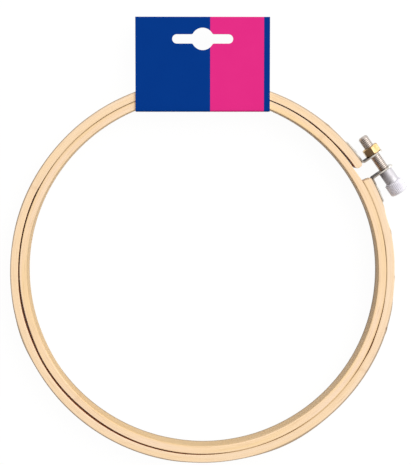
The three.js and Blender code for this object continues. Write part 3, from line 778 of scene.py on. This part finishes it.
# Place, reach, and the share of the knurl's depth that is cut there.
head_rows = [(neck_seat, 0, 0), (neck_seat, 2.3, 0), (neck_seat, 2.66, 0), (neck_seat + 0.04, 2.76, 0)]
plain_neck = (neck_seat + 0.15, neck_seat + 0.6, neck_end - 0.7, neck_end - 0.2)
head_rows += [(x, neck_reach, 0) for x in plain_neck]
head_rows += [(neck_end - 0.06, neck_reach + 0.04, 0), (neck_end, 2.9, 0)]
head_rows += [(neck_end, 3.1, 0), (neck_end + 0.03, 3.27, 0), (neck_end + 0.12, 3.42, 0.1)]
head_rows += [(neck_end + 0.25, 3.58, 0.6), (neck_end + 0.4, knob_reach, 1), (neck_end + 0.9, knob_reach, 1)]
head_rows += [(knob_end - 1.6, knob_reach, 1)]
for turn in range(0, 91, 10):
    drop = knob_rounding * (1 - sin(radians(turn)))
    draw_in = knob_rounding * (1 - cos(radians(turn)))
    head_rows.append((knob_end - drop, knob_reach - draw_in, max(0.0, 1 - turn / 45)))
head_rows += [(knob_end, 1.6, 0), (knob_end, 0, 0)]


def on_head(row, angle):
    """A point of the head, with the knurl's rounded grooves."""
    x, reach, cut = row
    groove = (0.5 - 0.5 * cos(knurl_ridges * angle)) ** 1.4
    return round_screw(x, reach - knurl_depth * cut * groove, angle)


head_mesh = turned_mesh("knurled_head", head_rows, knurl_ridges * 6, on_head)
head = add_piece(
    "knurled_head",
    head_mesh,
    nickel_plate("nickel plate, knurled", ("#EAE9F0", "#F1F0F5"), 0.85),
    nickel_plate("nickel plate, turned", ("#D0CED3", "#D6D4D9"), 0.64),
    crisp=40.0,
)
neck_foot = at_clamp(neck_end - 0.03, screw_radius, strip_middle)
for face in head_mesh.polygons:
    face.material_index = int((face.center - neck_foot).dot(along_screw) < 0)
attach(head, "thumb_screw")
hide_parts("thumb_screw_head")

# Hang card
# One piece of 0.4 mm white-lined board, printed on its face and varnished, and die cut with a hole for a peg
# or a hook. It is creased twice inside the hoop, laid over both faces of the rings and glued to itself.
board = 0.39
board_half = 0.2
card_middle = -0.3  # from the hoop's axis, along X
card_half = 27.14
card_top = 103.83
card_fold = 65.8
card_bend = 79.05
card_flange = 88.65
front_height = strip_top + 0.65
hang_hole_place = 95.0
hang_hole_reach = 4.5
hang_slot_half = 12.3
hang_slot_reach = 1.88
hang_fillet = 0.5


def hang_hole():
    """The hole's outline: a quarter from the slot's right end to the hole's top, and its mirror images."""
    end = hang_slot_half - hang_slot_reach
    turns = [radians(k * 7.5) for k in range(13)]
    quarter = [(end + hang_slot_reach * cos(a), hang_slot_reach * sin(a)) for a in turns]
    meet = sqrt(hang_hole_reach**2 - hang_slot_reach**2)
    leave = asin(hang_slot_reach / hang_hole_reach) + hang_fillet / hang_hole_reach
    start = (meet + hang_fillet, hang_slot_reach)
    finish = (hang_hole_reach * cos(leave), hang_hole_reach * sin(leave))
    quarter += [(end + (start[0] - end) * share, hang_slot_reach) for share in (0.33, 0.66)]
    for t in [k / 6 for k in range(7)]:
        fillet = zip(start, (meet, hang_slot_reach), finish)
        quarter.append(tuple((1 - t) ** 2 * p + 2 * (1 - t) * t * q + t * t * s for p, q, s in fillet))
    turns = [leave + (pi / 2 - leave) * k / 9 for k in range(1, 10)]
    quarter += [(hang_hole_reach * cos(a), hang_hole_reach * sin(a)) for a in turns]
    half = quarter + [(-x, y) for x, y in reversed(quarter[:-1])]
    return half + [(x, -y) for x, y in reversed(half[1:-1])]


def bend_path(corners, radii, step):
    """Points along a line through corners, each bend rounded to its radius."""
    path = [Vector(corners[0])]
    for before, at, after, radius in zip(corners, corners[1:], corners[2:], radii):
        before, at, after = Vector(before), Vector(at), Vector(after)
        back, on = (before - at).normalized(), (after - at).normalized()
        half_angle = back.angle(on) / 2
        reach = radius / tan(half_angle)
        centre = at + (back + on).normalized() * radius / sin(half_angle)
        start, end = at + back * reach, at + on * reach
        swing = (start - centre).angle_signed(end - centre)
        turns = max(3, int(abs(swing) / radians(step)))
        for k in range(turns + 1):
            arm = start - centre
            arm.rotate(Matrix.Rotation(-swing * k / turns, 2))
            path.append(centre + arm)
    path.append(Vector(corners[-1]))
    return path


def folded_card():
    """The card's middle surface, with each corner's place on the flat board in millimetres."""
    front, back = front_height - board_half, board_half
    glued = front - board - 0.01
    corners = [(card_top, front), (card_fold + board_half, front), (card_fold + board_half, back)]
    corners += [(card_bend, back), (card_flange, glued), (card_top, glued)]
    path = bend_path(corners, (0.5, 0.5, 1.6, 2.0), 12)
    flange_foot = path[-2].x  # where the back has come up to the front
    path.insert(1, Vector((flange_foot, front)))
    root = flange_foot - hang_hole_place
    top = card_top - hang_hole_place
    outline = [(-card_half, root), (card_half, root), (card_half, top), (-card_half, top)]
    flat, ring_quads = sheet_round_hole(hang_hole(), outline, (0, 0.06, 0.2, 0.4, 0.6, 0.8, 1))
    across = sorted((i for i, (x, y) in enumerate(flat) if abs(y - root) < 1e-5), key=lambda i: flat[i][0])

    def in_place(x, y, z):
        return (hoop_centre.x + (card_middle + x) * MM, hoop_centre.y + y * MM, z * MM)

    points = [in_place(x, hang_hole_place + y, path[0].y) for x, y in flat]
    places = [(x, top - y, 0) for x, y in flat]
    faces = list(ring_quads)
    above, travelled = across, card_top - flange_foot
    for here, following in zip(path[1:-2], path[2:-1]):
        pieces = max(1, int((following - here).length / 2.5))
        for k in range(1, pieces + 1):
            at = here + (following - here) * k / pieces
            travelled += (following - here).length / pieces
            if (at - path[-2]).length < 1e-6:
                break
            row = list(range(len(points), len(points) + len(across)))
            points += [in_place(flat[i][0], at.x, at.y) for i in across]
            places += [(flat[i][0], travelled, 0) for i in across]
            faces += [(above[i], above[i + 1], row[i + 1], row[i]) for i in range(len(row) - 1)]
            above = row
    base = len(points)
    points += [in_place(x, hang_hole_place + y, path[-1].y) for x, y in flat]
    places += [(x, travelled + y - root, 0) for x, y in flat]
    faces += [tuple(base + i for i in reversed(quad)) for quad in ring_quads]
    below = [base + i for i in across]
    faces += [(above[i], above[i + 1], below[i + 1], below[i]) for i in range(len(below) - 1)]
    mesh = bpy.data.meshes.new("folded_card")
    mesh.from_pydata(points, [], faces)
    flat_board = mesh.attributes.new("flat_board", "FLOAT_VECTOR", "POINT")
    flat_board.data.foreach_set("vector", [value for place in places for value in place])
    turn_faces_out(mesh)
    return mesh


def printed_board():
    """White-lined board, offset printed in two flat colours and varnished. The ink is even and satin, a
    little cloudy, with the board's own fine tooth under it."""
    material, tree = new_material("varnished board, offset printed")
    place = add_node(tree, "Attribute", attribute_name="flat_board").outputs["Vector"]
    across, down, _ = add_node(tree, "SeparateXYZ", {0: place}).outputs
    # The pink field, in millimetres from the card's middle, ends on the front at the second crease.
    pink_left, pink_right, pink_length = 3.04, 24.73, 44.6
    pink = add_node(tree, "Math", {0: across, 1: pink_left}, operation="GREATER_THAN")
    for measured, end in ((across, pink_right), (down, pink_length)):
        before = add_node(tree, "Math", {0: measured, 1: end}, operation="LESS_THAN")
        pink = add_node(tree, "Math", {0: pink, 1: before}, operation="MULTIPLY")
    # The board's tooth is 0.05 mm, and drawn at 0.3 mm so that it shows. The ink is cloudy over 9 mm.
    tooth = add_node(tree, "TexNoise", {"Vector": place, "Scale": 1 / 0.3, "Detail": 2.0})
    cloud = add_node(tree, "TexNoise", {"Vector": place, "Scale": 1 / 9, "Detail": 3.0})
    inks = []
    for bend_shade, full in (("#00368A", "#013A8F"), ("#E42A87", "#E8308B")):
        ink = {0: cloud, 6: linear(bend_shade), 7: linear(full)}
        inks.append(add_node(tree, "Mix", ink, data_type="RGBA").outputs[2])
    colour = add_node(tree, "Mix", {0: pink, 6: inks[0], 7: inks[1]}, data_type="RGBA").outputs[2]
    roughness = {"Value": cloud, "From Min": 0.3, "From Max": 0.7, "To Min": 0.36, "To Max": 0.46}
    roughness = add_node(tree, "MapRange", roughness)
    bump = add_node(tree, "Bump", {"Strength": 0.2, "Distance": 0.00002, "Height": tooth})
    surface = {"Base Color": colour, "Roughness": roughness, "IOR": 1.5, "Specular IOR Level": 0.03}
    shader = add_node(tree, "BsdfPrincipled", {**surface, "Normal": bump})
    add_node(tree, "OutputMaterial", {"Surface": shader})
    return material


def board_pulp(name, tones):
    """The board's bare side or its cut edge: matt, slightly fibrous pulp."""
    material, tree = new_material(name)
    place = add_node(tree, "TexCoord").outputs["Object"]
    # Pulp fibres are 0.03 mm thick, and drawn at 0.2 mm so that they show.
    fibres = {"Vector": place, "Scale": 1000 / 0.2, "Detail": 3.0, "Roughness": 0.7}
    fibres = add_node(tree, "TexNoise", fibres)
    colour = add_node(tree, "ValToRGB", {"Fac": fibres}, stops=tuple(zip((0.3, 0.7), tones)))
    bump = add_node(tree, "Bump", {"Strength": 0.4, "Distance": 0.00003, "Height": fibres})
    surface = {"Base Color": colour, "Roughness": 0.85, "Normal": bump}
    shader = add_node(tree, "BsdfPrincipled", surface)
    add_node(tree, "OutputMaterial", {"Surface": shader})
    return material


card = add_piece(
    "folded_card",
    folded_card(),
    printed_board(),
    board_pulp("board, unprinted side", ("#DEDBD2", "#EFEDE6")),
    board_pulp("board, cut edge", ("#E6E3DC", "#F6F4EF")),
    crisp=60.0,
)
sheet = card.modifiers.new("board", "SOLIDIFY")
sheet.thickness = board * MM
sheet.offset = 0.0
sheet.use_even_offset = True
sheet.material_offset = 1
sheet.material_offset_rim = 2
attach(card, "header_card")
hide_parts("header_card")

# Floor, light and camera
# The hoop lies on a white studio floor under one large softbox at the upper right, in a room with a white
# wall on that side and a dimmer, cooler one on the other. The camera looks down on its upper part.
floor_half = 1.5  # metres
floor_corners = [(x * floor_half, y * floor_half, 0) for x, y in ((-1, -1), (1, -1), (1, 1), (-1, 1))]
floor_mesh = bpy.data.meshes.new("studio_floor")
floor_mesh.from_pydata(floor_corners, [], [(0, 1, 2, 3)])
# Matt white paint: what looks at it sees white with the hoop's shadow, and it throws a plain level of light
# back on the hoop.
floor_paint, tree = new_material("white studio floor, matt paint")
rays = add_node(tree, "LightPath").outputs
seen = rays["Is Camera Ray"]
for ray in ("Is Glossy Ray", "Is Transmission Ray"):
    seen = add_node(tree, "Math", {0: seen, 1: rays[ray]}, operation="MAXIMUM")
lit = add_node(tree, "BsdfDiffuse", {"Color": linear("#AEAEAE")})
shaded = add_node(tree, "BsdfDiffuse", {"Color": linear("#454545")})
glow = add_node(tree, "Emission", {"Color": linear("#FFFFFF"), "Strength": 0.955})
white = add_node(tree, "AddShader", {0: shaded, 1: glow})
surface = add_node(tree, "MixShader", {0: seen, 1: lit, 2: white})
add_node(tree, "OutputMaterial", {"Surface": surface})
floor_mesh.materials.append(floor_paint)
floor = bpy.data.objects.new("studio_floor", floor_mesh)
bpy.context.scene.collection.objects.link(floor)

softbox_bearing = radians(42)
softbox_distance = 2.0
softbox = bpy.data.lights.new("softbox", "AREA")
softbox.shape = "SQUARE"
softbox.size = 1.2
softbox.energy = 13.0
softbox_stand = bpy.data.objects.new("softbox", softbox)
softbox_direction = Vector((cos(softbox_bearing), sin(softbox_bearing), 0.9)).normalized()
softbox_stand.location = hoop_centre + softbox_direction * softbox_distance
softbox_stand.rotation_mode = "QUATERNION"
softbox_stand.rotation_quaternion = softbox_direction.to_track_quat("Z", "Y")
bpy.context.scene.collection.objects.link(softbox_stand)

room = bpy.data.worlds.new("pale room")
room.use_nodes = True
tree = room.node_tree
tree.nodes.clear()
dim_wall, white_wall = (0.172, 0.14, 0.142, 1), (1.25, 1.23, 1.19, 1)
white_wall_direction = (0.77, 0.64, 0.0)
direction = add_node(tree, "TexCoord").outputs["Generated"]
toward = {0: direction, 1: white_wall_direction}
toward = add_node(tree, "VectorMath", toward, operation="DOT_PRODUCT").outputs["Value"]
nearness = {"Value": toward, "From Min": -0.85, "From Max": 0.6}
nearness = add_node(tree, "MapRange", nearness, interpolation_type="SMOOTHSTEP")
wall = {0: nearness, 6: dim_wall, 7: white_wall}
wall = add_node(tree, "Mix", wall, data_type="RGBA").outputs[2]
room_light = add_node(tree, "Background", {"Color": wall, "Strength": 1.0})
add_node(tree, "OutputWorld", {"Surface": room_light})
bpy.context.scene.world = room

# The camera's place and aim in millimetres from the hoop's axis, at the rings' upper faces. The picture is
# 465 pixels high, its focal length and its shift are in these pixels.
camera_place = (-10.8, 60.0, 491.0)
camera_aim = (-2.07, 27.51, 0.0)
picture_height = 465
focal_length, shift_right, shift_up = 1209.7, 7.2, -26.5
camera_data = bpy.data.cameras.new("camera")
camera_data.sensor_width = 36.0
camera_data.lens = camera_data.sensor_width * focal_length / picture_height
camera_data.shift_x = shift_right / picture_height
camera_data.shift_y = shift_up / picture_height
camera_data.clip_start = 0.01
camera = bpy.data.objects.new("camera", camera_data)
axis_top = hoop_foot + Vector((0, 0, strip_top * MM))
camera.location = axis_top + Vector(camera_place) * MM
ahead = (axis_top + Vector(camera_aim) * MM - camera.location).normalized()
right = ahead.cross(Vector((0, 1, 0))).normalized()
camera.rotation_mode = "QUATERNION"
camera.rotation_quaternion = Matrix((right, right.cross(ahead), -ahead)).transposed().to_quaternion()
bpy.context.scene.collection.objects.link(camera)
bpy.context.scene.camera = camera
bpy.context.scene.view_settings.view_transform = "Standard"
